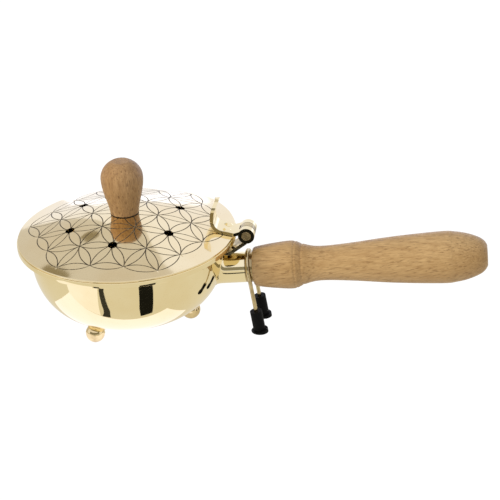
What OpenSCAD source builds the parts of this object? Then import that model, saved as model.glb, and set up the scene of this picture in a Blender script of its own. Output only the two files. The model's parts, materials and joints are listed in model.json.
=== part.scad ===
// Hand-held incense censer: a vented lid hinged on a shallow bowl, with a turned handle.
// Every piece is drawn in the bowl's own frame: +X along the handle, the rim plane at z = 0.
// resting() then leans the whole object onto its two far feet and the two tips of the stand.

/* [Bowl] */
// Largest radius of the bowl's wall
bowl_r = 54.3; // [48:0.1:60]
// Depth of the bowl below its rim band
bowl_depth = 44.3; // [36:0.1:52]
// Thickness of the sheet that the bowl and the lid are made of
sheet = 1; // [0.8:0.1:1.4]
// How far the rim stands out from the wall
rim_reach = 6.7; // [5:0.1:9]
// Height of the rim band
rim_h = 2.9; // [2.4:0.1:4]
// Width of the band's hemmed top edge
rim_hem = 1.5; // [1.3:0.1:2]

/* [Lid] */
// How far the lid's edge stays inside the rim band
lid_inset = 0.5; // [0.2:0.1:0.8]
// Rise of the dome above its edge
lid_rise = 12.3; // [9:0.1:15]
// Height of the lid's upright edge
lid_edge = 1.1; // [1:0.1:2]
// Radius of the circle that the vents lie on
vent_ring_r = 32; // [26:0.5:38]
// Radius of each vent
vent_r = 2.6; // [2:0.1:3.5]
// Number of vents
vent_count = 6; // [4:1:8]
// Turn of the ring of vents from the handle's line
vent_turn = -2.8; // [-30:0.1:30]

/* [Knob] */
// Height of the knob
knob_h = 31; // [27:0.5:36]
// Radius of the knob's foot
knob_foot_r = 7.9; // [6.5:0.1:9]
// Largest radius of the knob
knob_r = 11.7; // [10:0.1:14]
// Height of the knob's widest place above its foot
knob_wide_h = 21; // [17:0.5:23]
// Radius of the flat on top of the knob
knob_flat_r = 4.5; // [3:0.1:6]
// Radius of the knob's screw
knob_screw_r = 2; // [1.5:0.1:2.5]
// Depth of the screw in the knob
knob_screw_depth = 16; // [10:0.5:20]

/* [Hinge] */
// Distance of the hinge pin outside the lid's edge
pin_reach = 7.2; // [6.8:0.1:9]
// Height of the hinge pin above the rim plane
pin_h = 1.4; // [1:0.1:2]
// Radius of the hinge pin
pin_r = 2.5; // [1.8:0.1:2.6]
// Radial running clearance of the lever on the pin
pin_clearance = 0.05; // [0.03:0.01:0.08]
// Width of the lever and of the bracket
strap_w = 12.4; // [11.6:0.1:15]
// Thickness of the lever and of the bracket
strap_t = 2; // [1.6:0.1:2.1]
// Gap between moving knuckles
knuckle_gap = 0.3; // [0.2:0.05:0.4]
// Height of the thumb scoop above the lid's edge
scoop_h = 20.6; // [17:0.1:25]
// Radius of the rivets that hold the lever and the bracket
rivet_r = 1.4; // [1.1:0.1:1.5]

/* [Neck and handle] */
// Radius of the neck tube
neck_r = 8.6; // [7.8:0.1:9.4]
// Wall of the neck tube
neck_wall = 1.2; // [1:0.1:1.6]
// Upward slope of the neck and handle
neck_rise = 3.5; // [1:0.1:6]
// Height of the rim plane above the neck's axis, at the bowl's centre
neck_drop = 24.5; // [22:0.1:26]
// Distance of the handle's front end from the bowl's wall
neck_l = 16.3; // [14:0.1:26]
// Length of the collar between neck tube and handle
collar_l = 4.4; // [4:0.1:6]
// Length of the handle
handle_l = 129; // [110:1:150]
// Radius of the handle at its front end
handle_front_r = 11; // [10.5:0.1:12.5]
// Radius of the handle at its waist
handle_waist_r = 9.6; // [8.5:0.1:11]
// Largest radius of the handle
handle_r = 14.3; // [12:0.1:16]
// Radius of the rod inside the neck
rod_r = 2.5; // [2:0.1:3]
// Length of the rod inside the handle
rod_grip = 48; // [30:1:60]

/* [Stand and feet] */
// Angle at which the object leans back from the handle when it rests
rest_lean = 2; // [1:0.1:5]
// Radius of the stand's wire
wire_r = 1.1; // [0.9:0.1:1.3]
// Half of the distance between the stand's legs
leg_half = 9.3; // [9:0.1:10.5]
// Slant of the stand, away from upright and towards the handle
leg_slant = 7.5; // [5:0.1:9]
// Radius of a rubber cap
cap_r = 3.4; // [3:0.1:4.2]
// Length of a rubber cap
cap_l = 13; // [10:0.5:16]
// Radius of the cap's foot rim
cap_rim_r = 4.7; // [4.4:0.1:5.4]
// Radius of a ball foot
ball_r = 5.4; // [4.8:0.1:6.5]
// Radius of the circle that the ball feet lie on
ball_ring_r = 33; // [28:0.5:36]
// How deep the ball feet sit into the curve of the bowl
ball_seat = 1.2; // [0.9:0.1:1.5]
// Radius of the screws in the ball feet
foot_screw_r = 1.5; // [1.2:0.1:1.8]

/* [Hidden] */
$fn = 96;
CURVE_STEPS = 20;      // points along each curved wall
EPS = 0.01;

BRASS = [0.84, 0.72, 0.46];
DARK_BRASS = [0.62, 0.50, 0.28];
STEEL = [0.66, 0.66, 0.64];
WOOD = [0.80, 0.62, 0.43];
RUBBER = [0.06, 0.06, 0.06];

// rim and lid
rim_r = bowl_r + rim_reach;
lid_r = rim_r - lid_inset;
knob_seat_r = knob_foot_r + 0.5;
shoulder = 0.52;       // how much the dome flattens towards its edge
washer_t = 1;
washer_r = knob_screw_r + 3.5;

// hinge
pin_x = lid_r + pin_reach;
roll_in = pin_r + pin_clearance;
roll_mid = roll_in + strap_t / 2;
roll_out = roll_in + strap_t;
middle_w = strap_w / 3;
pin_over = 0.2;        // how far each pin end stands proud
rivet_head_r = rivet_r + 1.1;
rivet_head_h = 0.9;
rivet_gap = 0.06;      // room under a rivet head on a curved sheet
rivet_y = strap_w / 2 - rivet_head_r - 0.2;
drill_under = 5;       // rivet holes run this far under the strap, through the sheet
drill_over = 0.5;
lever_foot_x = lid_r - 6.7;
lever_rivet_x = lid_r - 3.9;

// neck and stand
handle_start = bowl_r + neck_l;
collar_start = handle_start - collar_l;
wood_gap = 0.4;        // between the wire and the wood
spigot = 4;            // the collar's plug in the neck tube
// the stand leans towards the handle, so it needs room down to the handle's lower edge
wire_s = handle_start - wire_r - wood_gap - handle_front_r * tan(leg_slant - neck_rise);
nut_r = 2 * rod_r;
nut_h = 1.7 * rod_r;
rod_washer_r = neck_r - 1;
rod_washer_t = 2.4;

function lid_z(r) = lid_edge + lid_rise * (1 - (1 + shoulder) * pow(r / lid_r, 2)
    + shoulder * pow(r / lid_r, 4));
function lid_slope(r) = atan(lid_rise / lid_r * (-2 * (1 + shoulder) * r / lid_r
    + 4 * shoulder * pow(r / lid_r, 3)));

// the wall is a squared-off bulge: full at the rim, rounding in to a nearly flat floor
function wall_share(u) = pow(max(0, 1 - pow(u, 2.57)), 0.316);
function wall_depth_share(share) = pow(1 - pow(share, 1 / 0.316), 1 / 2.57);
function wall_curve(r, top, from = 0, to = 1) =
    [for (i = [0:CURVE_STEPS])
        let (u = from + (to - from) * sin(90 * i / CURVE_STEPS))
        [i == CURVE_STEPS && to == 1 ? 0 : r * wall_share(u), top - bowl_depth * u]];
function outer_wall() = wall_curve(bowl_r, -rim_h);
function inner_wall() = wall_curve(bowl_r - sheet, sheet - rim_h);
function outer_z(r) = -rim_h - bowl_depth * wall_depth_share(r / bowl_r);
function inner_r(z) = (bowl_r - sheet) * wall_share((sheet - rim_h - z) / bowl_depth);

function reversed(list) = [for (i = [len(list) - 1:-1:0]) list[i]];
function arc(centre, r, from, to, steps = 12) =
    [for (i = [0:steps]) let (a = from + (to - from) * i / steps) centre + r * [cos(a), sin(a)]];
// a smooth line through hand-set points, as a Catmull-Rom spline
function bend(a, b, c, d, t) = 0.5 * (2 * b + (c - a) * t + (2 * a - 5 * b + 4 * c - d) * t * t
    + (3 * b - a - 3 * c + d) * t * t * t);
function smooth(points, steps = 4) = let (last = len(points) - 1) concat(
    [for (i = [0:last - 1]) for (s = [0:steps - 1])
        bend(points[max(0, i - 1)], points[i], points[i + 1], points[min(last, i + 2)], s / steps)],
    [points[last]]);

// ball feet
ball_x = ball_ring_r;
ball_z = outer_z(ball_ring_r) - (ball_r - ball_seat);
function ball_angle(i) = 120 * (i - 1);

// resting: the far feet and the stand's tips touch the floor together
far_ball_x = ball_x * cos(ball_angle(2));
rest_lift = ball_r - far_ball_x * sin(rest_lean) - ball_z * cos(rest_lean);
function row_z(x, z) = x * sin(rest_lean) + z * cos(rest_lean) + rest_lift;
function row_x(x, z) = x * cos(rest_lean) - z * sin(rest_lean);
stand_x = wire_s * cos(neck_rise);
stand_z = -neck_drop + wire_s * sin(neck_rise);
leg_l = row_z(stand_x, stand_z) / cos(leg_slant + rest_lean);
cap_floor = 2.6;       // rubber under the end of the wire
cap_rim_h = 1.3;
handle_end = handle_start + handle_l;
back_x = row_x(handle_end * cos(neck_rise), -neck_drop + handle_end * sin(neck_rise));
front_x = row_x(-rim_r, -rim_h);
row_shift = -(front_x + back_x) / 2;

module resting() {
    translate([row_shift, 0, rest_lift]) rotate([0, -rest_lean, 0]) children();
}

// local +Z runs along the neck's axis from the bowl's centre line, local +X points down
module on_neck(s = 0) {
    translate([0, 0, -neck_drop]) rotate([0, 90 - neck_rise, 0]) translate([0, 0, s]) children();
}

module turned(profile) {
    rotate_extrude() polygon(profile);
}

module strap(width, outline) {
    translate([0, width / 2, 0]) rotate([90, 0, 0]) linear_extrude(width) polygon(outline);
}

// a strip of even thickness along a centre line
function side_of(path, i, half) =
    let (a = path[max(0, i - 1)], b = path[min(len(path) - 1, i + 1)], d = (b - a) / norm(b - a))
    path[i] + half * [-d[1], d[0]];
function strip(path, thick) = concat(
    [for (i = [0:len(path) - 1]) side_of(path, i, thick / 2)],
    [for (i = [len(path) - 1:-1:0]) side_of(path, i, -thick / 2)]);

module rivet_hole() {
    translate([0, 0, -drill_under]) cylinder(r = rivet_r, h = drill_under + strap_t + drill_over);
}

// a rivet through a strap that starts at z = 0 and a sheet below it
module rivet(below) {
    translate([0, 0, -below]) cylinder(r = rivet_r, h = below + strap_t + rivet_head_h);
    translate([0, 0, strap_t]) cylinder(r1 = rivet_head_r, r2 = rivet_r, h = rivet_head_h);
    translate([0, 0, -below - rivet_head_h]) cylinder(r1 = rivet_r, r2 = rivet_head_r, h = rivet_head_h);
}

// --- bowl -------------------------------------------------------------------------------------
module bowl_space(wall, top) {
    turned(concat(wall, [[0, top], [wall[0][0], top]]));
}

module bowl() {
    color(BRASS) difference() {
        turned(concat(
            [[rim_r - rim_hem, 0], [rim_r, 0], [rim_r, -rim_h]],
            outer_wall(), reversed(inner_wall()),
            [[rim_r - rim_hem, sheet - rim_h]]));
        on_neck(bowl_r / 2) cylinder(r = rod_r, h = bowl_r);
        for (i = [1:3]) at_foot(i) cylinder(r = foot_screw_r, h = 2 * ball_r);
        at_bracket_rivets() rivet_hole();
    }
}

// --- lid and knob -----------------------------------------------------------------------------
function dome(drop, edge_r) = concat(
    [[0, lid_z(knob_seat_r) - drop]],
    [for (i = [0:CURVE_STEPS])
        let (r = knob_seat_r + (edge_r - knob_seat_r) * i / CURVE_STEPS) [r, lid_z(r) - drop]]);

module lid() {
    color(BRASS) difference() {
        turned(concat(dome(0, lid_r), [[lid_r, 0], [lid_r - sheet, 0]],
            reversed(dome(sheet, lid_r - sheet))));
        for (i = [0:vent_count - 1]) rotate(360 / vent_count * (i + 0.5) + vent_turn)
            translate([vent_ring_r, 0, 0]) cylinder(r = vent_r, h = lid_rise + lid_edge + 1);
        cylinder(r = knob_screw_r, h = lid_rise + lid_edge + 1);
        at_lever_rivets() rivet_hole();
    }
}

knob_top_h = knob_h - knob_wide_h;
knob_flat_angle = acos(knob_flat_r / knob_r);
knob_dome_h = knob_top_h / sin(knob_flat_angle);

module knob() {
    swell = [for (i = [0:CURVE_STEPS]) let (t = i / CURVE_STEPS)
        [knob_foot_r + (knob_r - knob_foot_r) * pow(sin(90 * t), 1.6), knob_wide_h * t]];
    crown = [for (i = [1:CURVE_STEPS]) let (a = knob_flat_angle * i / CURVE_STEPS)
        [knob_r * cos(a), knob_wide_h + knob_dome_h * sin(a)]];
    color(WOOD) translate([0, 0, lid_z(knob_seat_r)]) difference() {
        turned(concat([[0, 0]], swell, crown, [[0, knob_h]]));
        translate([0, 0, -EPS]) cylinder(r = knob_screw_r, h = knob_screw_depth + EPS);
    }
}

// a cheese head that hangs under z = 0 with its slot below, on a shaft that rises from it
module screw(r, shaft) {
    head_h = 0.8 * r + 0.4;
    cut = head_h / 2;
    slot_w = 0.5 * r;
    translate([0, 0, -cut / 2]) cylinder(r = r, h = shaft + cut / 2);
    difference() {
        translate([0, 0, -head_h]) cylinder(r1 = 1.5 * r, r2 = 1.8 * r, h = head_h);
        translate([-slot_w / 2, -2 * r, -head_h - cut]) cube([slot_w, 4 * r, 2 * cut]);
    }
}

module knob_screw() {
    color(STEEL) translate([0, 0, lid_z(knob_seat_r) - sheet - washer_t])
        screw(knob_screw_r, knob_screw_depth + sheet + washer_t);
}

module knob_washer() {
    color(STEEL) translate([0, 0, lid_z(knob_seat_r) - sheet - washer_t]) difference() {
        cylinder(r = washer_r, h = washer_t);
        translate([0, 0, -EPS]) cylinder(r = knob_screw_r, h = washer_t + 2 * EPS);
    }
}

// --- hinge ------------------------------------------------------------------------------------
pin = [pin_x, pin_h];
lever_gap = 0.12;      // the flat strap clears the dome's slight hollow
ring_join = 150;       // where on the knuckle's ring the strap runs into it
lever_lie = lid_slope(lever_rivet_x);
lever_rise = [cos(lever_lie), sin(lever_lie)];
lever_up = [-lever_rise[1], lever_rise[0]];
lever_foot = [lever_foot_x, lid_z(lever_foot_x)] + (strap_t / 2 + lever_gap) * lever_up;
lever_end = lever_foot + (lid_r - lever_foot_x + 0.4) * lever_rise;
// the scoop turns up from the lever's foot in a short arc, then leans back over it in a long one
root_r = 6.5;
root = lever_foot + root_r * lever_up;
scoop_r = 22;
scoop_turn = asin((lid_edge + scoop_h - root[1]) / scoop_r);

module at_lever_rivets() {
    at = lever_foot + (lever_rivet_x - lever_foot_x) * lever_rise - strap_t / 2 * lever_up;
    for (y = [-rivet_y, rivet_y]) translate([at[0], y, at[1]]) rotate([0, -lever_lie, 0]) children();
}

function lever_line() = concat(
    arc(root + [scoop_r - root_r, 0], scoop_r, 180 - scoop_turn, 180),
    arc(root, root_r, 190, 270 + lever_lie, 8),
    [lever_end, pin + roll_mid * [cos(ring_join), sin(ring_join)]]);

module at_pin(y = 0) {
    translate([pin_x, y, pin_h]) rotate([90, 0, 0]) children();
}

module thumb_lever() {
    color(BRASS) difference() {
        union() {
            strap(strap_w, strip(lever_line(), strap_t));
            at_pin() cylinder(r = roll_out, h = strap_w, center = true);
        }
        at_pin() cylinder(r = roll_in, h = 2 * strap_w, center = true);
        at_pin() cylinder(r = roll_out + knuckle_gap, h = middle_w + 2 * knuckle_gap, center = true);
        at_lever_rivets() rivet_hole();
        scoop_corners();
    }
}

// rounds the scoop's tip to a tongue
module scoop_corners() {
    tip_r = strap_w / 2;
    reach = 2 * scoop_r;
    translate([lever_foot_x - reach / 2, 0, lid_edge + scoop_h - tip_r]) rotate([0, 90, 0]) difference() {
        translate([-3 * tip_r, -2 * tip_r, 0]) cube([3 * tip_r, 4 * tip_r, reach]);
        cylinder(r = tip_r, h = reach);
    }
}

module lever_rivets() {
    color(BRASS) at_lever_rivets() rivet(sheet + lever_gap + 2 * rivet_gap);
}

// the bracket is riveted to the wall under the rim, folds up and out, and passes under the pin
arm_angle = 36;
arm_rise = [cos(arm_angle), sin(arm_angle)];
arm_offset = roll_out - strap_t / 2 - 0.6;
arm_short = sqrt(pow(roll_out - 0.03, 2) - pow(arm_offset + strap_t / 2, 2));
arm_end = pin + arm_offset * [arm_rise[1], -arm_rise[0]] - arm_short * arm_rise;
fold_r = 1.6;
bracket_gap = 0.05;
plate_gap = 0.4;       // between the bracket's top and the rim band
bracket_x = bowl_r + strap_t / 2 + bracket_gap;
fold_start = arm_end - (arm_end[0] - bracket_x - fold_r) / arm_rise[0] * arm_rise;
fold_z = fold_start[1] + fold_r / arm_rise[0];
bracket_rivet_z = fold_z + rivet_head_r + 0.15;

module at_bracket_rivets() {
    for (y = [-rivet_y, rivet_y]) translate([bracket_x - strap_t / 2, y, bracket_rivet_z])
        rotate([0, 90, 0]) children();
}

// down the wall, round the fold and up to the point beneath the pin
function bracket_line() = concat(
    [[bracket_x, -rim_h - plate_gap], [bracket_x, fold_z]],
    arc([bracket_x + fold_r, fold_z], fold_r, 200, 270 + arm_angle, 6),
    [arm_end]);

module hinge_bracket() {
    color(BRASS) difference() {
        union() {
            strap(strap_w, strip(bracket_line(), strap_t));
            at_pin() cylinder(r = roll_out, h = middle_w, center = true);
        }
        for (side = [-1, 1]) at_pin(side * (strap_w + middle_w) / 2)
            cylinder(r = roll_out + knuckle_gap, h = strap_w, center = true);
        at_pin() cylinder(r = pin_r, h = 2 * strap_w, center = true);
        at_bracket_rivets() rivet_hole();
    }
}

module bracket_rivets() {
    hollow = bracket_x - strap_t / 2 - sqrt(pow(inner_r(bracket_rivet_z), 2) - pow(strap_w / 2, 2));
    color(BRASS) at_bracket_rivets() rivet(hollow + rivet_gap);
}

module hinge_pin() {
    color(DARK_BRASS) at_pin() cylinder(r = pin_r, h = strap_w + 2 * pin_over, center = true);
}

// --- neck, collar and handle ------------------------------------------------------------------
module neck_tube() {
    color(BRASS) difference() {
        on_neck(bowl_r / 2) cylinder(r = neck_r, h = collar_start - bowl_r / 2);
        on_neck(bowl_r / 2 - 1) cylinder(r = neck_r - neck_wall, h = collar_start - bowl_r / 2 + 2);
        bowl_space(outer_wall(), 0);
    }
}

module collar_ring() {
    color(DARK_BRASS) difference() {
        on_neck(collar_start) difference() {
            union() {
                cylinder(r = neck_r, h = collar_l);
                translate([0, 0, -spigot]) cylinder(r = neck_r - neck_wall, h = spigot + 1);
            }
            translate([0, 0, -spigot - 1]) cylinder(r = rod_r, h = collar_l + spigot + 2);
        }
        at_stand() stand_wire(wire_r + EPS);
    }
}

function handle_profile() = smooth([
    [handle_front_r - 1.2, 0], [handle_front_r, 1.4],
    [handle_front_r + 1.5, 11], [handle_front_r + 2.3, 22],
    [handle_waist_r + 1.6, 28], [handle_waist_r, 37], [handle_waist_r + 0.9, 54],
    [handle_r - 1.5, 78], [handle_r, 104], [handle_r - 0.7, handle_l - 16],
    [handle_r - 3.2, handle_l - 6], [handle_r - 8.5, handle_l]]);

module handle() {
    color(WOOD) on_neck(handle_start) difference() {
        turned(concat([[0, 0]], handle_profile(), [[0, handle_l]]));
        translate([0, 0, -EPS]) cylinder(r = rod_r, h = rod_grip + EPS);
    }
}

module handle_rod() {
    start = inner_r(-neck_drop) - nut_h - rod_washer_t - 2;
    color(STEEL) on_neck(start) cylinder(r = rod_r, h = handle_start + rod_grip - start);
}

module rod_nut() {
    color(STEEL) on_neck(inner_r(-neck_drop) - nut_h - rod_washer_t) difference() {
        cylinder(r = nut_r, h = nut_h, $fn = 6);
        translate([0, 0, -EPS]) cylinder(r = rod_r, h = nut_h + 2 * EPS);
    }
}

module rod_washer() {
    color(STEEL) intersection() {
        on_neck(inner_r(-neck_drop) - rod_washer_t) difference() {
            cylinder(r = rod_washer_r, h = rod_washer_t + 6);
            translate([0, 0, -EPS]) cylinder(r = rod_r, h = rod_washer_t + 7);
        }
        bowl_space(inner_wall(), 0);
    }
}

// --- stand and feet ---------------------------------------------------------------------------
// local +X runs down the legs from the neck's axis
module at_stand() {
    translate([stand_x, 0, stand_z]) rotate([0, 90 - leg_slant, 0]) children();
}

module stand_wire(r) {
    rotate(90) rotate_extrude(angle = 180) translate([leg_half, 0]) circle(r = r);
    for (y = [-leg_half, leg_half]) translate([0, y, 0]) rotate([0, 90, 0])
        cylinder(r = r, h = leg_l - cap_floor);
}

module wire_stand() {
    color(BRASS) at_stand() stand_wire(wire_r);
}

module rubber_cap(y) {
    color(RUBBER) at_stand() translate([leg_l, y, 0]) rotate([0, -90, 0]) difference() {
        union() {
            cylinder(r = cap_r, h = cap_l);
            translate([0, 0, -cap_rim_h]) cylinder(r = cap_rim_r, h = 2 * cap_rim_h);
        }
        translate([0, 0, cap_floor]) cylinder(r = wire_r, h = cap_l);
        // cut level with the floor
        rotate([0, leg_slant + rest_lean, 0]) translate([0, 0, -cap_l])
            cylinder(r = 2 * cap_rim_r, h = cap_l);
    }
}

module at_foot(i) {
    rotate(ball_angle(i)) translate([ball_x, 0, ball_z]) children();
}

module ball_foot(i) {
    color(BRASS) difference() {
        at_foot(i) sphere(r = ball_r);
        bowl_space(outer_wall(), 0);
        at_foot(i) cylinder(r = foot_screw_r, h = 2 * ball_r);
    }
}

// the head rests on the floor's highest place under it
module foot_screw(i) {
    seat = outer_z(ball_ring_r + 2 * foot_screw_r) + 2 * sheet + 0.4 - ball_z;
    color(STEEL) at_foot(i) translate([0, 0, seat]) rotate([180, 0, 0]) screw(foot_screw_r, seat);
}

resting() {
    bowl();
    lid();
    knob();
    knob_screw();
    knob_washer();
    thumb_lever();
    lever_rivets();
    hinge_bracket();
    bracket_rivets();
    hinge_pin();
    neck_tube();
    collar_ring();
    handle();
    handle_rod();
    rod_nut();
    rod_washer();
    wire_stand();
    rubber_cap(leg_half);  // rubber_cap_left
    rubber_cap(-leg_half);  // rubber_cap_right
    for (i = [1:3]) {
        ball_foot(i);
        foot_screw(i);
    }
}
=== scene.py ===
import json
import math
import bmesh
import bpy
import numpy as np
from mathutils import Matrix, Vector


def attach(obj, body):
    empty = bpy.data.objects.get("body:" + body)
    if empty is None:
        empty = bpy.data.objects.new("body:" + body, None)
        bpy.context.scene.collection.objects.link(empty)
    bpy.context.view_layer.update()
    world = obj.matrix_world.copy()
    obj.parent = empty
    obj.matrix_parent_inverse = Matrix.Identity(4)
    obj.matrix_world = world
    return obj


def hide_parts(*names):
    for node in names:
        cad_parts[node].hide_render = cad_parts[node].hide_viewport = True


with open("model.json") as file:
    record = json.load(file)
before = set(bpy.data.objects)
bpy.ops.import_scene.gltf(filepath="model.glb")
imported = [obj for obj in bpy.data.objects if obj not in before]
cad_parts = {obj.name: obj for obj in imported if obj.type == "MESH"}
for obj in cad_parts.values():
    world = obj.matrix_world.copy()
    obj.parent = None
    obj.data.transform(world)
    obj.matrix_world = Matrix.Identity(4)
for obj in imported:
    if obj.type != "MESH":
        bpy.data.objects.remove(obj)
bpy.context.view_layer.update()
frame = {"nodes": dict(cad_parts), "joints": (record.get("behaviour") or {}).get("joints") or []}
nodes = frame["nodes"]
print("frame loaded:", len(nodes), "nodes")

# Sizes are in millimetres in the bowl's own frame: +X along the handle, the rim plane at z = 0.
resting = {"lean": 2.0, "pinX": 67.7, "pinZ": 1.4}
lean = math.radians(resting["lean"])
leanTurn = np.array([[math.cos(lean), 0, -math.sin(lean)], [0, 1, 0], [math.sin(lean), 0, math.cos(lean)]])
pinAt = np.array(frame["joints"][0]["pos_m"]) * 1000
leanShift = pinAt - leanTurn @ [resting["pinX"], 0, resting["pinZ"]]


def toRow(points):
    # turned about Y by the lean, moved so that the hinge pin lies on the joint's axis, then put in metres
    return (np.asarray(points, float) @ leanTurn.T + leanShift) / 1000


neck = {
    "radius": 8.6, "wall": 1.2, "rise": 3.5, "drop": 24.5, "end": 66.2, "solder": 0.7, "solderRun": 0.9,
    "solderStart": 0.5, "sunk": 0.5, "rodRadius": 2.5, "rodHole": (20, 70), "guess": 48.0, "turns": 30,
}


def onNeck(points):
    # local Z becomes the neck's axis, which rises towards the handle; local X points down and local Y stays
    rise = math.radians(neck["rise"])
    along = np.array([math.cos(rise), 0, math.sin(rise)])
    down = np.array([math.sin(rise), 0, -math.cos(rise)])
    x, y, z = np.asarray(points, float).T
    return x[:, None] * down + y[:, None] * [0, 1, 0] + z[:, None] * along - [0, 0, neck["drop"]]


def srgb(r, g, b):
    # a colour as a paint card gives it, 0 to 255, made linear
    c = np.array([r, g, b]) / 255
    return tuple(np.where(c < 0.04045, c / 12.92, ((c + 0.055) / 1.055) ** 2.4)) + (1.0,)


def gridFaces(rows, cols, closed=False):
    # the four corners of every cell of a grid; closed joins the last column to the first
    i, j = np.meshgrid(np.arange(rows - 1), np.arange(cols if closed else cols - 1), indexing="ij")
    k = (j + 1) % cols
    return np.stack([i * cols + j, i * cols + k, (i + 1) * cols + k, (i + 1) * cols + j], -1).reshape(-1, 4)


def turned(profile, steps):
    # each profile point (r, z) carried round the Z axis: x = r cos a, y = r sin a
    r, z = np.asarray(profile, float).T
    a = np.linspace(0, 2 * math.pi, steps, endpoint=False)
    points = np.stack([np.outer(r, np.cos(a)), np.outer(r, np.sin(a)), np.repeat(z[:, None], steps, 1)], -1)
    return points.reshape(-1, 3), gridFaces(len(r), steps, True)


def cleaned(mesh, weld=1.5e-6):
    # corners nearer than the weld distance are joined, and faces turned to look outwards
    bm = bmesh.new()
    bm.from_mesh(mesh)
    bmesh.ops.remove_doubles(bm, verts=bm.verts, dist=weld)
    bmesh.ops.dissolve_degenerate(bm, edges=bm.edges, dist=weld)
    bmesh.ops.recalc_face_normals(bm, faces=bm.faces)
    bm.to_mesh(mesh)
    bm.free()
    return mesh


def cutWith(piece, cutters):
    # takes each closed cutter out of the piece, then drops the cutters
    for cutter in cutters:
        cut = piece.modifiers.new("cut", "BOOLEAN")
        cut.operation, cut.solver, cut.object = "DIFFERENCE", "MANIFOLD", cutter
    bpy.context.view_layer.update()
    graph = bpy.context.evaluated_depsgraph_get()
    piece.data = bpy.data.meshes.new_from_object(piece.evaluated_get(graph))
    piece.modifiers.clear()
    for cutter in cutters:
        bpy.data.objects.remove(cutter)


def makePiece(name, points, faces, body, materials, stands=(), kinds=None, sharp=32,
              cutters=()):
    # points in the bowl's frame become a welded mesh in the row's frame, cut, shaded and put on its body
    mesh = bpy.data.meshes.new(name)
    mesh.from_pydata(toRow(points).tolist(), [], faces.tolist())
    if kinds is not None:
        mesh.polygons.foreach_set("material_index", kinds.astype(np.int32))
    cleaned(mesh)
    piece = bpy.data.objects.new(name, mesh)
    bpy.context.scene.collection.objects.link(piece)
    for material in materials:
        mesh.materials.append(material)
    if cutters:
        cutWith(piece, cutters)
    return settle(piece, body, stands, sharp)


def settle(piece, body, stands, sharp=32):
    # smooth shading up to the sharp angle, then the body it rides on and the nodes it stands for
    piece.data.shade_smooth()
    piece.data.set_sharp_from_angle(angle=math.radians(sharp))
    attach(piece, body)
    if stands:
        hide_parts(*stands)
    return piece


def drill(points, faces):
    # a closed solid to cut with, which is dropped after the cut
    mesh = bpy.data.meshes.new("drill")
    mesh.from_pydata(toRow(points).tolist(), [], faces.tolist())
    cleaned(mesh)
    cutter = bpy.data.objects.new("drill", mesh)
    bpy.context.scene.collection.objects.link(cutter)
    return cutter


def rod(radius, low, high, steps=48):
    # a closed round bar about Z from one height to another
    return turned([[0, low], [radius, low], [radius, high], [0, high]], steps)


def refined(name, node, body, material, bevel=0.0, sharp=32):
    # the CAD node's triangles with shared corners joined, so that curved faces shade as one
    source = nodes[node].data
    co = np.empty(len(source.vertices) * 3, np.float32)
    source.vertices.foreach_get("co", co)
    corner = np.empty(len(source.loops), np.int32)
    source.loops.foreach_get("vertex_index", corner)
    keys, index = np.unique(np.round(co.reshape(-1, 3), 6), axis=0, return_inverse=True)
    mesh = bpy.data.meshes.new(name)
    mesh.from_pydata(keys.tolist(), [], index.reshape(-1)[corner].reshape(-1, 3).tolist())
    bm = bmesh.new()
    bm.from_mesh(mesh)
    bmesh.ops.dissolve_degenerate(bm, edges=bm.edges, dist=1e-6)
    bmesh.ops.dissolve_limit(bm, angle_limit=math.radians(0.4), verts=bm.verts, edges=bm.edges)
    bm.to_mesh(mesh)
    bm.free()
    piece = bpy.data.objects.new(name, mesh)
    bpy.context.scene.collection.objects.link(piece)
    mesh.materials.append(material)
    settle(piece, body, (node,), sharp)
    if bevel:
        soften = piece.modifiers.new("soften", "BEVEL")
        soften.width, soften.segments, soften.limit_method = bevel, 2, "ANGLE"
        soften.angle_limit = math.radians(38)  # only edges sharper than this are eased
        soften.harden_normals = True
    return piece


def newTree(name):
    # a material with its tree and its shader
    material = bpy.data.materials.new(name)
    material.use_nodes = True
    tree = material.node_tree
    return material, tree, tree.nodes["Principled BSDF"]


def addNode(tree, kind, inputs=None, **settings):
    # a node with its settings and the plain values of its inputs
    node = tree.nodes.new(kind)
    for key, value in settings.items():
        setattr(node, key, value)
    for key, value in (inputs or {}).items():
        node.inputs[key].default_value = value
    return node


def join(tree, source, target):
    # one link, from an output to an input
    tree.links.new(source, target)


def newGroup(name, ins, outs):
    # a shader group with named inputs (name, kind, value) and outputs (name, kind)
    group = bpy.data.node_groups.new(name, "ShaderNodeTree")
    kinds = {"c": "NodeSocketColor", "f": "NodeSocketFloat", "v": "NodeSocketVector"}
    for socket, kind, value in ins:
        made = group.interface.new_socket(socket, in_out="INPUT", socket_type=kinds[kind])
        if value is not None:
            made.default_value = value
    for socket, kind in outs:
        group.interface.new_socket(socket, in_out="OUTPUT", socket_type=kinds[kind])
    return group, group.nodes.new("NodeGroupInput"), group.nodes.new("NodeGroupOutput")


def noiseIn(tree, vector, scale, detail=3.0, rough=0.5, distort=0.0):
    # cloudy noise at a place, where scale is the clouds in a metre
    node = addNode(tree, "ShaderNodeTexNoise", {"Detail": detail, "Roughness": rough, "Distortion": distort})
    feed(tree, ((node.inputs["Vector"], vector), (node.inputs["Scale"], scale)))
    return node.outputs["Fac"]


def mapped(tree, vector, scale=(1, 1, 1), turn=(0, 0, 0)):
    # the place stretched by the scale, then turned by so many degrees about each axis
    node = addNode(tree, "ShaderNodeMapping", {"Scale": scale, "Rotation": [math.radians(t) for t in turn]})
    join(tree, vector, node.inputs["Vector"])
    return node.outputs["Vector"]


def ranged(tree, value, low, high, toLow=0.0, toHigh=1.0):
    # the value drawn straight from low..high to toLow..toHigh, and held at both ends
    node = addNode(tree, "ShaderNodeMapRange", {"From Min": low, "From Max": high, "To Min": toLow,
                                                "To Max": toHigh})
    join(tree, value, node.inputs["Value"])
    return node.outputs["Result"]


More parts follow.
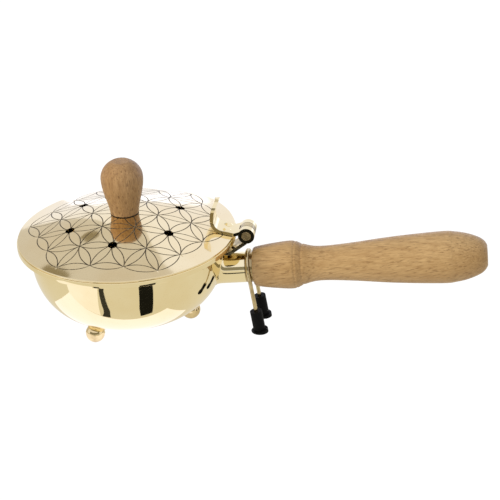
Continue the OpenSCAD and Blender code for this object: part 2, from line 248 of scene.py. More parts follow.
def feed(tree, pairs):
    # each socket gets either a link or a plain value
    for socket, value in pairs:
        if isinstance(value, bpy.types.NodeSocket):
            join(tree, value, socket)
        else:
            socket.default_value = value


def blended(tree, factor, a, b):
    # a where the factor is 0, b where it is 1
    node = addNode(tree, "ShaderNodeMix", data_type="RGBA")
    feed(tree, ((node.inputs[0], factor), (node.inputs[6], a), (node.inputs[7], b)))
    return node.outputs[2]


def reckoned(tree, operation, a, b):
    # one sum of two values or sockets
    node = addNode(tree, "ShaderNodeMath", operation=operation)
    feed(tree, zip(node.inputs, (a, b)))
    return node.outputs[0]


# sheet and cast metal: a faint cloud of tone, hazy spots left by polishing, and a slight ripple; on the hinge
# bracket's brass the cloud's dark side is painted shade
metalGroup, gin, gout = newGroup(
    "metalSurface",
    [("Vector", "v", None), ("Tone", "c", None), ("Shade", "c", None), ("Cloud Scale", "f", 40.0),
     ("Roughness", "f", 0.05), ("Haze", "f", 0.05), ("Ripple Scale", "f", 260.0)],
    [("Color", "c"), ("Roughness", "f"), ("Height", "f")])
vec = gin.outputs["Vector"]
cloud = ranged(metalGroup, noiseIn(metalGroup, vec, gin.outputs["Cloud Scale"], 4.0, 0.6), 0.42, 0.75)
join(metalGroup, blended(metalGroup, cloud, gin.outputs["Tone"], gin.outputs["Shade"]), gout.inputs["Color"])
hazeSpots = ranged(metalGroup, noiseIn(metalGroup, vec, 140.0, 5.0, 0.65), 0.5, 0.8)
hazeAmount = reckoned(metalGroup, "MULTIPLY", hazeSpots, gin.outputs["Haze"])
join(metalGroup, reckoned(metalGroup, "ADD", hazeAmount, gin.outputs["Roughness"]), gout.inputs["Roughness"])
join(metalGroup, noiseIn(metalGroup, vec, gin.outputs["Ripple Scale"], 2.0, 0.4), gout.inputs["Height"])

metals = {
    "lidBrass": {"tone": (0.90, 0.765, 0.48, 1), "shade": (0.86, 0.70, 0.41, 1), "roughness": 0.075,
                 "haze": 0.06, "ripple": 200.0, "bump": 0.012, "cloud": 30.0},
    "polishedBrass": {"tone": (0.90, 0.775, 0.47, 1), "shade": (0.86, 0.715, 0.40, 1), "roughness": 0.035,
                      "haze": 0.07, "ripple": 260.0, "bump": 0.012, "cloud": 40.0},
    # painted shade: the bracket's brass is darker than polished brass and its cloud runs nearly to black,
    # standing in for the shadows and dark reflections round the hinge
    "shadedBracketBrass": {"tone": (0.62, 0.50, 0.27, 1), "shade": (0.11, 0.08, 0.035, 1), "roughness": 0.12,
                  "haze": 0.22, "ripple": 420.0, "bump": 0.10, "cloud": 150.0},
    "agedBrass": {"tone": (0.50, 0.38, 0.19, 1), "shade": (0.15, 0.105, 0.05, 1), "roughness": 0.22,
                  "haze": 0.25, "ripple": 500.0, "bump": 0.08, "cloud": 160.0},
    "footBrass": {"tone": (0.84, 0.67, 0.36, 1), "shade": (0.50, 0.36, 0.16, 1), "roughness": 0.05,
                  "haze": 0.10, "ripple": 300.0, "bump": 0.03, "cloud": 170.0},
    "wireBrass": {"tone": (0.62, 0.50, 0.27, 1), "shade": (0.26, 0.19, 0.09, 1), "roughness": 0.16,
                  "haze": 0.20, "ripple": 600.0, "bump": 0.06, "cloud": 140.0},
    "platedSteel": {"tone": (0.66, 0.65, 0.62, 1), "shade": (0.56, 0.54, 0.51, 1), "roughness": 0.24,
                    "haze": 0.12, "ripple": 600.0, "bump": 0.02, "cloud": 150.0},
}


def metalMaterial(name):
    # the shared metal surface with this metal's own tones, haze and ripple
    facts = metals[name]
    material, tree, shader = newTree(name)
    where = addNode(tree, "ShaderNodeTexCoord").outputs["Object"]
    surface = addNode(tree, "ShaderNodeGroup", node_tree=metalGroup)
    for socket, fact in (("Tone", "tone"), ("Shade", "shade"), ("Cloud Scale", "cloud"),
                         ("Roughness", "roughness"), ("Haze", "haze"), ("Ripple Scale", "ripple")):
        surface.inputs[socket].default_value = facts[fact]
    join(tree, where, surface.inputs["Vector"])
    join(tree, surface.outputs["Color"], shader.inputs["Base Color"])
    join(tree, surface.outputs["Roughness"], shader.inputs["Roughness"])
    bump = addNode(tree, "ShaderNodeBump", {"Strength": facts["bump"], "Distance": 0.0004})
    join(tree, surface.outputs["Height"], bump.inputs["Height"])
    join(tree, bump.outputs["Normal"], shader.inputs["Normal"])
    shader.inputs["Metallic"].default_value = 1.0
    return material


lidBrass, polishedBrass, shadedBracketBrass, agedBrass, footBrass, wireBrass, platedSteel = [
    metalMaterial(name) for name in metals]

# the engraved lines are left dark, with a little brass showing through
engraved, tree, shader = newTree("engravedLine")
where = addNode(tree, "ShaderNodeTexCoord").outputs["Object"]
grime = ranged(tree, noiseIn(tree, where, 900.0, 4.0, 0.6), 0.45, 0.75)
join(tree, blended(tree, grime, (0.045, 0.033, 0.016, 1), (0.32, 0.24, 0.12, 1)), shader.inputs["Base Color"])
join(tree, ranged(tree, grime, 0, 1, 0.55, 0.35), shader.inputs["Roughness"])
shader.inputs["Metallic"].default_value = 0.5

# wood: growth bands, fine fibres and short open pores, all drawn out along the grain
woodGroup, gin, gout = newGroup(
    "woodGrain",
    [("Vector", "v", None), ("Light", "c", None), ("Middle", "c", None), ("Dark", "c", None),
     ("Pore", "c", None),
     ("Band Amount", "f", 0.5), ("Fibre Amount", "f", 0.5), ("Pore Amount", "f", 0.6)],
    [("Color", "c"), ("Roughness", "f"), ("Height", "f")])
vec = gin.outputs["Vector"]
stretch = {"broad": (10, 34, 34), "bands": (24, 105, 105), "fibres": (140, 1250, 1250),
           "pores": (230, 1350, 1350)}
along = {name: mapped(woodGroup, vec, scale) for name, scale in stretch.items()}
broad = ranged(woodGroup, noiseIn(woodGroup, along["broad"], 1.0, 3.0, 0.55, 0.6), 0.34, 0.68)
bands = addNode(woodGroup, "ShaderNodeTexWave", {
    "Scale": 1.0, "Distortion": 7.0, "Detail": 3.0, "Detail Scale": 1.2, "Detail Roughness": 0.6},
    wave_type="BANDS", bands_direction="DIAGONAL", wave_profile="SIN")
join(woodGroup, along["bands"], bands.inputs["Vector"])


def share(value, low, high, amount):
    # how much of a mark shows: the value drawn to 0..1, times its amount in this wood
    return reckoned(woodGroup, "MULTIPLY", ranged(woodGroup, value, low, high), gin.outputs[amount])


bandLines = share(bands.outputs["Fac"], 0.55, 1.0, "Band Amount")
fibres = share(noiseIn(woodGroup, along["fibres"], 1.0, 4.0, 0.7), 0.40, 0.72, "Fibre Amount")
pores = share(noiseIn(woodGroup, along["pores"], 1.0, 2.0, 0.5), 0.57, 0.68, "Pore Amount")
tone = blended(woodGroup, broad, gin.outputs["Light"], gin.outputs["Middle"])
tone = blended(woodGroup, bandLines, tone, gin.outputs["Dark"])
tone = blended(woodGroup, fibres, tone, gin.outputs["Dark"])
tone = blended(woodGroup, pores, tone, gin.outputs["Pore"])
join(woodGroup, tone, gout.inputs["Color"])
join(woodGroup, ranged(woodGroup, fibres, 0, 1, 0.42, 0.62), gout.inputs["Roughness"])
join(woodGroup, reckoned(woodGroup, "SUBTRACT", reckoned(woodGroup, "MULTIPLY", fibres, -0.5), pores),
     gout.inputs["Height"])

woods = {
    "handleWood": {"light": (208, 171, 117), "middle": (186, 146, 91), "dark": (146, 104, 56),
                   "pore": (116, 80, 42),
                   "band": 0.14, "fibre": 0.6, "poreAmount": 0.5, "turn": (0, 13, 6)},
    "knobWood": {"light": (196, 157, 108), "middle": (164, 124, 76), "dark": (124, 86, 48),
                 "pore": (92, 60, 34),
                 "band": 0.2, "fibre": 0.6, "poreAmount": 0.55, "turn": (4, 97, 0)},
}


def woodMaterial(name):
    # the shared grain, turned so that it runs along the piece
    facts = woods[name]
    material, tree, shader = newTree(name)
    where = addNode(tree, "ShaderNodeTexCoord").outputs["Object"]
    grain = addNode(tree, "ShaderNodeGroup", node_tree=woodGroup)
    join(tree, mapped(tree, where, (1, 1, 1), facts["turn"]), grain.inputs["Vector"])
    for key, value in (("Light", "light"), ("Middle", "middle"), ("Dark", "dark"), ("Pore", "pore")):
        grain.inputs[key].default_value = srgb(*facts[value])
    for key, value in (("Band Amount", "band"), ("Fibre Amount", "fibre"), ("Pore Amount", "poreAmount")):
        grain.inputs[key].default_value = facts[value]
    join(tree, grain.outputs["Color"], shader.inputs["Base Color"])
    join(tree, grain.outputs["Roughness"], shader.inputs["Roughness"])
    bump = addNode(tree, "ShaderNodeBump", {"Strength": 0.35, "Distance": 0.0003})
    join(tree, grain.outputs["Height"], bump.inputs["Height"])
    join(tree, bump.outputs["Normal"], shader.inputs["Normal"])
    shader.inputs["Specular IOR Level"].default_value = 0.35
    return material


handleWood, knobWood = [woodMaterial(name) for name in woods]

# moulded rubber: fine pits and a little pale dust
rubber, tree, shader = newTree("blackRubber")
where = addNode(tree, "ShaderNodeTexCoord").outputs["Object"]
dust = ranged(tree, noiseIn(tree, where, 420.0, 5.0, 0.7), 0.55, 0.85)
rubberTone = blended(tree, dust, (0.004, 0.004, 0.0038, 1), (0.014, 0.0135, 0.012, 1))
join(tree, rubberTone, shader.inputs["Base Color"])
join(tree, ranged(tree, dust, 0, 1, 0.55, 0.75), shader.inputs["Roughness"])
bump = addNode(tree, "ShaderNodeBump", {"Strength": 0.25, "Distance": 0.0002})
join(tree, noiseIn(tree, where, 2600.0, 3.0, 0.6), bump.inputs["Height"])
join(tree, bump.outputs["Normal"], shader.inputs["Normal"])
shader.inputs["Specular IOR Level"].default_value = 0.08

# painted shadow: the knob's foot is coloured near black, mottled a little, where the knob meets the lid
knobFootShadow, tree, shader = newTree("knobFootShadow")
where = addNode(tree, "ShaderNodeTexCoord").outputs["Object"]
shadowMottle = ranged(tree, noiseIn(tree, where, 700.0, 3.0, 0.6), 0.4, 0.75)
shadowColour = blended(tree, shadowMottle, (0.02, 0.012, 0.006, 1), (0.07, 0.045, 0.022, 1))
join(tree, shadowColour, shader.inputs["Base Color"])
shader.inputs["Roughness"].default_value = 0.6
print("materials made")


bowl = {
    "radius": 54.3, "depth": 44.3, "sheet": 1.0, "rimRadius": 61.0, "rimHeight": 2.9, "hem": 1.5,
    "fullness": 2.57, "roundness": 0.316, "fillet": 0.35, "steps": 288, "wallRows": 56,
}


def wallShare(u):
    # a squared-off bulge: (1 - u^fullness)^roundness of the full radius at share u of the depth
    return np.maximum(0, 1 - np.maximum(u, 0) ** bowl["fullness"]) ** bowl["roundness"]


def wallCurve(radius, top):
    # the wall's rows crowd towards the bottom, as the sine of equal steps
    u = np.sin(np.linspace(0, math.pi / 2, bowl["wallRows"]))
    u[-1] = 1
    return np.stack([radius * wallShare(u), top - bowl["depth"] * u], 1)


def rounded(corner, before, after, radius, steps=4):
    # a quadratic curve from one side of a corner to the other, which stands in for its small fillet
    corner, before, after = [np.asarray(p, float) for p in (corner, before, after)]
    a = corner + radius * (before - corner) / np.linalg.norm(before - corner)
    b = corner + radius * (after - corner) / np.linalg.norm(after - corner)
    t = np.linspace(0, 1, steps)[:, None]
    return (1 - t) ** 2 * a + 2 * t * (1 - t) * corner + t ** 2 * b


def bowlProfile():
    # round the section: the rim's top and edge, down the outer wall, and up the inner wall to the hem
    hemIn, rim, low = bowl["rimRadius"] - bowl["hem"], bowl["rimRadius"], -bowl["rimHeight"]
    outer = wallCurve(bowl["radius"], low)
    inner = wallCurve(bowl["radius"] - bowl["sheet"], low + bowl["sheet"])[::-1]
    f, seat = bowl["fillet"], low + bowl["sheet"]
    return np.vstack([
        rounded((hemIn, 0), (hemIn, seat), (rim, 0), f), rounded((rim, 0), (hemIn, 0), (rim, low), f),
        rounded((rim, low), (rim, 0), (bowl["radius"], low), f),
        rounded(outer[0], (rim, low), outer[6], 0.5), outer[4:],
        inner[:-4], rounded(inner[-1], inner[-6], (hemIn, seat), 0.5),
        rounded((hemIn, seat), inner[-1], (hemIn, 0), 0.2), [[hemIn, -f]],
    ])


def outerZ(r):
    # the height of the outer wall at a radius, which is wallShare turned round
    return -bowl["rimHeight"] - bowl["depth"] * (1 - (r / bowl["radius"]) ** (1 / bowl["roundness"])) ** (
        1 / bowl["fullness"])


feet = {"ring": 33.0, "screw": 1.5, "hole": (-3, 12), "below": 4.2, "angles": (0, 120, 240)}
rivets = {"radius": 1.4, "hole": (-5, 3), "aside": 3.5, "out": 54.35, "up": -6.25}
points, faces = rod(neck["rodRadius"], *neck["rodHole"])
bowlDrills = [drill(onNeck(points), faces)]
for angle in feet["angles"]:
    points, faces = rod(feet["screw"], *feet["hole"])
    a = math.radians(angle)
    bowlDrills.append(drill(points + [feet["ring"] * math.cos(a), feet["ring"] * math.sin(a),
                                      outerZ(feet["ring"]) - feet["below"]], faces))
for side in (-1, 1):
    points, faces = rod(rivets["radius"], *rivets["hole"])
    at = [rivets["out"], side * rivets["aside"], rivets["up"]]
    bowlDrills.append(drill(points[:, [2, 1, 0]] + at, faces))
points, faces = turned(bowlProfile(), bowl["steps"])
bowlPiece = makePiece("bowlShell", points, faces, "pan", [polishedBrass], ("bowl",),
                      cutters=bowlDrills)
print("bowl made:", len(bowlPiece.data.polygons), "faces")


lid = {
    "radius": 60.5, "rise": 12.3, "edge": 1.1, "shoulder": 0.52, "sheet": 1.0, "edgeRound": 0.3,
    "spacing": 18.479, "turn": -2.8, "rings": 3, "lineWidth": 0.54, "lineDepth": 0.18,
    "stations": 14, "marginRows": 6, "innerRows": 26, "ventRing": 32.0, "ventRadius": 2.6,
    "screwRadius": 2.0, "drill": (0, 20), "crowding": 1.45, "grooveStrips": (3, 7),
}


def lidZ(r):
    # a dome: rise (1 - (1 + shoulder) q^2 + shoulder q^4) above the edge, where q is r over the lid's radius
    q = r / lid["radius"]
    return lid["edge"] + lid["rise"] * (1 - (1 + lid["shoulder"]) * q ** 2 + lid["shoulder"] * q ** 4)


def latticeNodes():
    # the places of a triangular lattice inside a hexagon of so many rings
    n, s = lid["rings"], lid["spacing"]
    i, j = np.meshgrid(np.arange(-n, n + 1), np.arange(-n, n + 1), indexing="ij")
    keep = np.abs(i + j) <= n
    i, j = i[keep], j[keep]
    return np.stack([s * (i + j / 2), s * j * math.sqrt(3) / 2], 1)


def petalCell(outside):
    # One twelfth of the surroundings of a lattice place A. The engraved arc leaves A at 30 degrees from the
    # line to its neighbour, on a circle about the far corner. Rows follow rays from that circle's centre:
    # from the neighbour line, over the groove, to the line from A to the middle of the triangle.
    s, half = lid["spacing"], lid["lineWidth"] / 2
    back = np.radians(30) * (np.linspace(0, 1, lid["stations"]) ** lid["crowding"])
    phi = (math.radians(30) - back)[:, None]
    near = math.sqrt(3) / 2 * s / np.cos(phi)
    far = 2 / math.sqrt(3) * s / (np.cos(phi) + np.sin(phi) / math.sqrt(3))
    grooveIn, grooveOut = np.maximum(near, s - half), np.minimum(far, s + half)
    inner = near + (grooveIn - near) * np.array([0, 1 / 3, 2 / 3])
    groove = np.clip(s + half * np.array([-1, -0.5, 0, 0.5, 1]), near, far)
    outer = grooveOut + (far - grooveOut) * np.array([1 / 3, 2 / 3, 1])
    rho = np.hstack([inner, groove, outer])
    away = np.abs(rho - s) / half
    drop = lid["lineDepth"] * np.maximum(0, 1 - away ** 2)
    if outside:
        drop = np.where((rho >= far - 1e-9) & (rho > s + 1e-9), 0, drop)
    x = s / 2 - rho * np.sin(phi)
    y = rho * np.cos(phi) - math.sqrt(3) / 2 * s
    kinds = np.zeros(rho.shape[1] - 1, int)
    kinds[slice(*lid["grooveStrips"])] = 1  # the strips of the cell that lie in the groove
    return np.stack([x, y, drop], -1), kinds


def engravedLid():
    # Cells meet along the lattice's lines, so together they fill its hexagon of petals. Each is turned by a
    # sixth of a turn and mirrored, moved to its lattice place, and lowered on the dome by its groove's depth.
    places, s = latticeNodes(), lid["spacing"]
    blocks, faces, kinds, edgePoints, start = [], [], [], [], 0
    cells = {out: petalCell(out) for out in (False, True)}
    rows, cols = cells[False][0].shape[:2]
    cellFaces = gridFaces(rows, cols)
    for k in range(6):
        a = math.radians(60 * k)
        step = s * np.array([math.cos(a), math.sin(a)])
        has = (np.linalg.norm(places[:, None] + step - places[None], axis=2) < 1e-3).any(1)
        for side in (1, -1):
            b = math.radians(60 * (k + side))
            third = s * np.array([math.cos(b), math.sin(b)])
            inside = (np.linalg.norm(places[:, None] + third - places[None], axis=2) < 1e-3).any(1)
            for out in (False, True):
                at = places[has & (inside != out)]
                cell, cellKinds = cells[out]
                x, y, drop = cell[..., 0], cell[..., 1] * side, cell[..., 2]
                u, v = x * math.cos(a) - y * math.sin(a), x * math.sin(a) + y * math.cos(a)
                block = np.stack([u[None] + at[:, 0, None, None], v[None] + at[:, 1, None, None],
                                  np.repeat(drop[None], len(at), 0)], -1)
                blocks.append(block.reshape(-1, 3))
                offsets = start + np.arange(len(at)) * rows * cols
                faces.append((cellFaces[None] + offsets[:, None, None]).reshape(-1, 4))
                kinds.append(np.tile(cellKinds, (rows - 1) * len(at)))
                start += len(at) * rows * cols
                if out:
                    edgePoints.append(block[:, :, -1].reshape(-1, 3))
    # the plain margin: the lattice's outline, in order round the lid, drawn out to the edge and under it
    outline = np.vstack(edgePoints)
    outline = outline[np.unique(np.round(outline[:, :2], 4), axis=0, return_index=True)[1]]
    angle, reach = np.arctan2(outline[:, 1], outline[:, 0]), np.hypot(outline[:, 0], outline[:, 1])
    order = np.argsort(angle)
    angle, reach, sunk = angle[order], reach[order], outline[order, 2]
    e, r0 = lid["edgeRound"], lid["radius"] - lid["edgeRound"]
    t = np.linspace(0, 1, lid["marginRows"])[:, None]
    marginR = reach + (r0 - reach) * t
    marginZ = lidZ(marginR) - sunk * (t == 0)
    low, inR = lid["edge"] - e, lid["radius"] - lid["sheet"]
    brim = np.vstack([
        rounded((lid["radius"], lidZ(lid["radius"]) + 0.05), (r0, lidZ(r0)), (lid["radius"], 0), e)[1:],
        rounded((lid["radius"], 0), (lid["radius"], low), (inR, 0), 0.25),
        rounded((inR, 0), (lid["radius"], 0), (inR, 1), 0.12)])
    under = np.linspace(inR, 0, lid["innerRows"])
    brim = np.vstack([brim, np.stack([under, lidZ(under) - lid["sheet"]], 1)])
    count = len(angle)
    ringR = np.vstack([marginR, np.repeat(brim[:, :1], count, 1)])
    ringZ = np.vstack([marginZ, np.repeat(brim[:, 1:], count, 1)])
    rim = np.stack([ringR * np.cos(angle), ringR * np.sin(angle), ringZ], -1).reshape(-1, 3)
    top = np.vstack(blocks)
    top = np.column_stack([top[:, :2], lidZ(np.hypot(top[:, 0], top[:, 1])) - top[:, 2]])
    faces.append(gridFaces(len(ringR), count, True) + start)
    kinds.append(np.zeros(len(faces[-1]), int))
    points = np.vstack([top, rim])
    t = math.radians(lid["turn"])
    points[:, :2] = points[:, :2] @ np.array([[math.cos(t), math.sin(t)], [-math.sin(t), math.cos(t)]])
    return points, np.vstack(faces), np.concatenate(kinds)


lidDrills = [drill(*rod(lid["screwRadius"], *lid["drill"]))]
for k in range(6):
    a = math.radians(60 * k + 30 + lid["turn"])
    points, faces = rod(lid["ventRadius"], *lid["drill"], 64)
    lidDrills.append(drill(points + [lid["ventRing"] * math.cos(a), lid["ventRing"] * math.sin(a), 0], faces))
points, faces, kinds = engravedLid()
lidPiece = makePiece("lidShell", points, faces, "lid", [lidBrass, engraved], ("lid",),
                     kinds=kinds, cutters=lidDrills)
print("lid made:", len(lidPiece.data.polygons), "faces")


knob = {
    "foot": 7.9, "radius": 11.7, "wide": 21.0, "height": 31.0, "flat": 4.5, "swell": 1.6,
    "seat": 8.4, "bore": 2.0, "boreDepth": 16.0, "seam": 0.6,
}


def knobProfile():
    # up the waist the radius grows as sin^swell, then a circular crown ends at the flat
    t = np.linspace(0, 1, 40)
    grown = (knob["radius"] - knob["foot"]) * np.sin(t * math.pi / 2) ** knob["swell"]
    side = np.stack([knob["foot"] + grown, knob["wide"] * t], 1)
    end = math.acos(knob["flat"] / knob["radius"])
    tall = (knob["height"] - knob["wide"]) / math.sin(end)
    a = np.linspace(0, end, 24)[1:]
    crown = np.stack([knob["radius"] * np.cos(a), knob["wide"] + tall * np.sin(a)], 1)
    bore = np.array([[0, knob["boreDepth"]], [knob["bore"], knob["boreDepth"]], [knob["bore"], 0]])
    foot = rounded((knob["foot"], 0), (knob["bore"], 0), side[3], 0.7, 8)
    top = rounded(crown[-1], crown[-3], (0, knob["height"]), 0.8)
    return np.vstack([bore, foot, side[3:], crown[:-1], top, [[0, knob["height"]]]])


points, faces = turned(knobProfile(), 128)
middle = points[faces].mean(1)
inSeam = (middle[:, 2] < knob["seam"]) & (np.hypot(middle[:, 0], middle[:, 1]) > knob["bore"] + 1)
points[:, 2] += lidZ(knob["seat"])
# the section carried round, with the painted shadow only on the faces at the foot
makePiece("knobTurned", points, faces, "lid", [knobWood, knobFootShadow], ("knob",),
          kinds=inSeam.astype(int), sharp=40)


handle = {
    "start": 70.6, "length": 129.0, "front": 11.0, "waist": 9.6, "radius": 14.3, "bore": 2.5,
    "boreDepth": 48.0,
    "lines": (23.4, 27.2), "lineWidth": 0.8, "lineDepth": 0.28,
}


def splined(points, steps):
    # a Catmull-Rom curve through the points, the ends doubled
    p = np.asarray(points, float)
    p = np.vstack([p[:1], p, p[-1:]])
    a, b, c, d = p[:-3, None], p[1:-2, None], p[2:-1, None], p[3:, None]
    t = np.linspace(0, 1, steps, endpoint=False)[None, :, None]
    square, cube = 2 * a - 5 * b + 4 * c - d, 3 * b - a - 3 * c + d
    curve = 0.5 * (2 * b + (c - a) * t + square * t ** 2 + cube * t ** 3)
    return np.vstack([curve.reshape(-1, 2), p[-1:]])


def handleProfile():
    # from the bore, over the front bulge, the waist and the grip, to the flat end
    front, waist, r, length = handle["front"], handle["waist"], handle["radius"], handle["length"]
    curve = splined([(front - 1.2, 0), (front, 1.4), (front + 1.5, 11), (front + 2.3, 22), (waist + 1.6, 28),
                     (waist, 37), (waist + 0.9, 54), (r - 1.5, 78), (r, 104), (r - 0.5, length - 17),
                     (r - 1.8, length - 10.5), (r - 4.0, length - 4.6), (r - 6.2, length - 1.5),
                     (r - 8.5, length)], 20)
    for at in handle["lines"]:  # two fine lines cut round the wood behind its ridge
        curve[:, 0] -= handle["lineDepth"] * np.maximum(0, 1 - np.abs(curve[:, 1] - at) / handle["lineWidth"])
    bore = np.array([[0, handle["boreDepth"]], [handle["bore"], handle["boreDepth"]], [handle["bore"], 0]])
    return np.vstack([bore, curve, [[0, length]]])


points, faces = turned(handleProfile(), 144)
points[:, 2] += handle["start"]
makePiece("handleTurned", onNeck(points), faces, "pan", [handleWood], ("handle",), sharp=40)


def neckTube(steps=128, rows=10):
    # Each line of the tube starts on the bowl's wall: its start moves by the gap between the wall's radius
    # at that height and the point's own distance from the bowl's axis until they meet.
    a = np.linspace(0, 2 * math.pi, steps, endpoint=False)

    def startOn(radius):
        # how far along the neck each line of this radius meets the wall, less what is sunk in it
        begin = np.full(steps, neck["guess"])
        for _ in range(neck["turns"]):
            p = onNeck(np.stack([radius * np.cos(a), radius * np.sin(a), begin], 1))
            u = np.clip((-bowl["rimHeight"] - p[:, 2]) / bowl["depth"], 0, 1)
            begin = begin + bowl["radius"] * wallShare(u) - np.hypot(p[:, 0], p[:, 1])
        return begin - neck["sunk"]

    t = np.linspace(0, 1, rows)[:, None] ** 2
    outStart, inStart = startOn(neck["radius"]), startOn(neck["radius"] - neck["wall"])
    outS = outStart + (neck["end"] - outStart) * t
    beyond = outS - outStart - neck["solderStart"]
    outR = neck["radius"] + neck["solder"] * np.exp(-beyond / neck["solderRun"])
    inS = (inStart + (neck["end"] - inStart) * t)[::-1]
    inR = np.full_like(inS, neck["radius"] - neck["wall"])
    s, r = np.vstack([outS, inS, outS[:1]]), np.vstack([outR, inR, outR[:1]])
    points = np.stack([r * np.cos(a), r * np.sin(a), s], -1).reshape(-1, 3)
    return onNeck(points), gridFaces(len(s), steps, True)


points, faces = neckTube()
makePiece("neckSleeve", points, faces, "pan", [polishedBrass], ("neck_tube",), sharp=50)
print("knob, handle and neck made")

# pieces that keep the CAD shape, with their facets joined and edges eased
kept = {
    "thumbLever": ("thumb_lever", "lid", polishedBrass, "polished_brass", 0.00025),
    "leverRivets": ("lever_rivets", "lid", polishedBrass, "polished_brass", 0.00015),
    # the hinge bracket and its rivets take the brass with painted shade
    "hingeBracket": ("hinge_bracket", "pan", shadedBracketBrass, "polished_brass", 0.00025),
    "bracketRivets": ("bracket_rivets", "pan", shadedBracketBrass, "polished_brass", 0.00015),
    "hingePin": ("hinge_pin", "pan", agedBrass, "aged_brass", 0.00015),
    "collarRing": ("collar_ring", "pan", agedBrass, "aged_brass", 0.0),
    "wireStand": ("wire_stand", "pan", wireBrass, "polished_brass", 0.0),
    "capLeft": ("rubber_cap_left", "pan", rubber, "black_rubber", 0.0003),
    "capRight": ("rubber_cap_right", "pan", rubber, "black_rubber", 0.0003),
    "handleRod": ("handle_rod", "pan", platedSteel, "steel", 0.0002),
    "rodNut": ("rod_nut", "pan", platedSteel, "steel", 0.0002),
    "rodWasher": ("rod_washer", "pan", platedSteel, "steel", 0.0),
    "knobScrew": ("knob_screw", "lid", platedSteel, "steel", 0.0),
    "knobWasher": ("knob_washer", "lid", platedSteel, "steel", 0.00015),
}
for i in (1, 2, 3):
    kept[f"ballFoot{i}"] = (f"ball_foot_{i}", "pan", footBrass, "polished_brass", 0.0)
    kept[f"footScrew{i}"] = (f"foot_screw_{i}", "pan", platedSteel, "steel", 0.0)
for name, (node, body, material, slotName, bevel) in kept.items():
    refined(name, node, body, material, bevel)
print("small pieces made:", len(kept))

view = {"target": (67.234, 9.449, -14.859), "distance": 1118.325, "turn": 8.0, "elevation": 26.583,
        "roll": 3.2845,
        "lens": 144.0, "sensor": 36.0}
turn, elevation, roll = [math.radians(view[k]) for k in ("turn", "elevation", "roll")]
spin = np.array([[math.cos(turn), -math.sin(turn), 0], [math.sin(turn), math.cos(turn), 0], [0, 0, 1]])
backward = spin @ [0, -math.cos(elevation), math.sin(elevation)]
across, upward = spin @ [1, 0, 0], spin @ [0, math.sin(elevation), math.cos(elevation)]
rightward = math.cos(roll) * across - math.sin(roll) * upward
upward = math.sin(roll) * across + math.cos(roll) * upward
cameraData = bpy.data.cameras.new("camera")
cameraData.lens, cameraData.sensor_width = view["lens"], view["sensor"]
cameraData.clip_start, cameraData.clip_end = 0.05, 30
camera = bpy.data.objects.new("camera", cameraData)
bpy.context.scene.collection.objects.link(camera)
axes = np.stack([leanTurn @ v for v in (rightward, upward, backward)], 1)
place = toRow(np.array(view["target"]) + backward * view["distance"])
camera.matrix_world = Matrix.Translation(place.tolist()) @ Matrix(axes.tolist()).to_4x4()
bpy.context.scene.camera = camera

stage = {
    "floorSize": 12.0, "floorSeen": 1.06, "floorMirrored": (0.80, 0.765, 0.69), "floorLit": 0.68,
    "sky": 1.03, "skyMirrored": (1.0, 1.02, 1.18), "skyLit": 0.58,
}


def byRay(tree, kind, seen, mirrored, lit, output):
    # one glow for the camera, one for mirrors and one for the light that falls on matt things
    rays = addNode(tree, "ShaderNodeLightPath")
    white = (1, 1, 1, 1)
    glows = [addNode(tree, kind, {"Color": colour, "Strength": strength}).outputs[0]
             for colour, strength in ((white, seen), ((*mirrored, 1), 1.0), (white, lit))]
    mirrors, whole = addNode(tree, "ShaderNodeMixShader"), addNode(tree, "ShaderNodeMixShader")
    feed(tree, zip(mirrors.inputs, (rays.outputs["Is Glossy Ray"], glows[2], glows[1])))
    feed(tree, zip(whole.inputs, (rays.outputs["Is Camera Ray"], mirrors.outputs[0], glows[0])))
    join(tree, whole.outputs[0], output.inputs["Surface"])


def glowing(name, colour, strength):
    # a plain light of its own, the same from everywhere
    material = bpy.data.materials.new(name)
    material.use_nodes = True
    tree = material.node_tree
    tree.nodes.clear()
    glow = addNode(tree, "ShaderNodeEmission", {"Color": (*colour, 1), "Strength": strength})
    join(tree, glow.outputs[0], addNode(tree, "ShaderNodeOutputMaterial").inputs["Surface"])
    return material


def stageMesh(name, points, faces, material, reflectedOnly=True):
    # a thing round the object: a card is seen by mirrors only
    mesh = bpy.data.meshes.new(name)
    mesh.from_pydata(np.asarray(points).tolist(), [], np.asarray(faces).tolist())
    mesh.materials.append(material)
    made = bpy.data.objects.new(name, mesh)
    bpy.context.scene.collection.objects.link(made)
    if reflectedOnly:
        made.visible_camera = made.visible_shadow = made.visible_transmission = made.visible_diffuse = False
    return made


# the floor shows as plain white paper; in the polished brass it mirrors a little darker
floorPaper = bpy.data.materials.new("floorPaper")
floorPaper.use_nodes = True
tree = floorPaper.node_tree
tree.nodes.clear()
byRay(tree, "ShaderNodeEmission", stage["floorSeen"], stage["floorMirrored"], stage["floorLit"],
      addNode(tree, "ShaderNodeOutputMaterial"))
w = stage["floorSize"] / 2
stageMesh("floor", [(-w, -w, 0), (w, -w, 0), (w, w, 0), (-w, w, 0)], [(0, 1, 2, 3)], floorPaper, False)

world = bpy.data.worlds.new("studio")
bpy.context.scene.world = world
world.use_nodes = True
tree = world.node_tree
tree.nodes.clear()
byRay(tree, "ShaderNodeBackground", stage["sky"], stage["skyMirrored"], stage["skyLit"],
      addNode(tree, "ShaderNodeOutputWorld"))

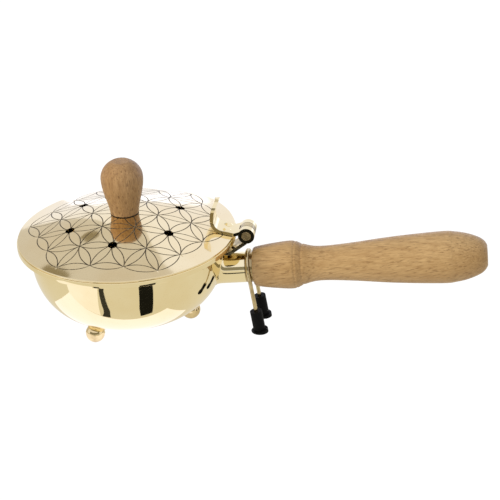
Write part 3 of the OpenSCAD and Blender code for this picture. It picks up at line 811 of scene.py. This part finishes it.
# cards that lie on the table or stand far off, seen only in the polished metal
tableCards = {
    "brightTable": (((-77, -69), (47, -49), (47, -20), (-60, -20)), (1, 1.0, 1.16), 1.22),
    "paperSheet": (((-77, -68), (-17, -60), (-46, -128), (-120, -110), (-112, -80)), (1, 0.99, 1.08), 1.14),
    "stripLeft": (((-15, -59), (-7, -59), (-9, -72), (-33, -131), (-45, -131), (-17, -73), (-15, -66)),
                  (0.9, 0.9, 0.8), 0.05),
    "stripRight": (((20, -57), (32, -56), (84, -130), (47, -134), (24, -72)), (0.9, 0.9, 0.8), 0.012),
    "backTable": (((-260, 250), (500, 250), (1700, 1000), (-500, 1000)), (0.92, 0.95, 1.1), 1.15),
    "farTable": (((-500, 1000), (1700, 1000), (5600, 5600), (-1800, 5600)), (0.92, 0.98, 1.25), 1.5),
}
for level, (name, (corners, colour, strength)) in enumerate(tableCards.items()):
    flat = np.column_stack([np.array(corners, float), np.zeros(len(corners))])
    placed = toRow(flat)
    placed[:, 2] = 0.0004 * (level + 1)
    stageMesh(name, placed, [tuple(range(len(corners)))], glowing(name, colour, strength))


def skyPatch(name, azimuths, lows, highs, distance, colour, strength):
    # a patch of a great sphere between two heights, which change along the azimuth; all in degrees
    a, low, high = [np.radians(np.array(v, float)) for v in (azimuths, lows, highs)]
    t = np.linspace(0, 1, 9)[:, None]
    e = low + (high - low) * t
    points = distance * np.stack([np.cos(e) * np.cos(a), np.cos(e) * np.sin(a), np.sin(e)], -1).reshape(-1, 3)
    centre = toRow(np.zeros(3))
    return stageMesh(name, points + centre, gridFaces(len(t), len(a)), glowing(name, colour, strength))


# azimuths, lower and upper heights in degrees, distance in metres, colour, strength
skyCards = {
    "tanPanel": ((60, 76, 90, 94, 98, 112, 115, 118, 140, 170), (60, 58, 55, 46, 38, 37, 20, -1, -1, -1),
                 (88,) * 10, 2.5, (0.71, 0.69, 0.70), 0.98),
    "darkRoom": (np.linspace(-150, -30, 13), (2,) * 13, (26,) * 13, 2.6, (0.9, 0.85, 0.7), 0.30),
    "lowGlare": ((40, 60, 80, 95, 108), (-2,) * 5, (9, 10, 10, 9, 7), 2.45, (0.92, 0.98, 1.25), 1.5),
    "darkCorner": ((117.3, 118.5, 120.5, 123.2), (41, 38, 37.2, 38.5), (43, 45, 45.5, 44.5), 2.4,
                   (1.0, 0.86, 0.6), 0.30),
}
for name, facts in skyCards.items():
    skyPatch(name, *facts)

key = {"place": (-1.25, -0.95, 0.75), "size": 0.7, "energy": 20.0}
lamp = bpy.data.lights.new("softKey", "AREA")
lamp.shape, lamp.size, lamp.energy = "SQUARE", key["size"], key["energy"]
lampObject = bpy.data.objects.new("softKey", lamp)
bpy.context.scene.collection.objects.link(lampObject)
lampObject.location = key["place"]
lampObject.rotation_mode = "QUATERNION"
lampObject.rotation_quaternion = (-Vector(key["place"])).to_track_quat("-Z", "Y")
lampObject.visible_glossy = False
bpy.context.scene.view_settings.view_transform = "Standard"
print("stage and camera made")
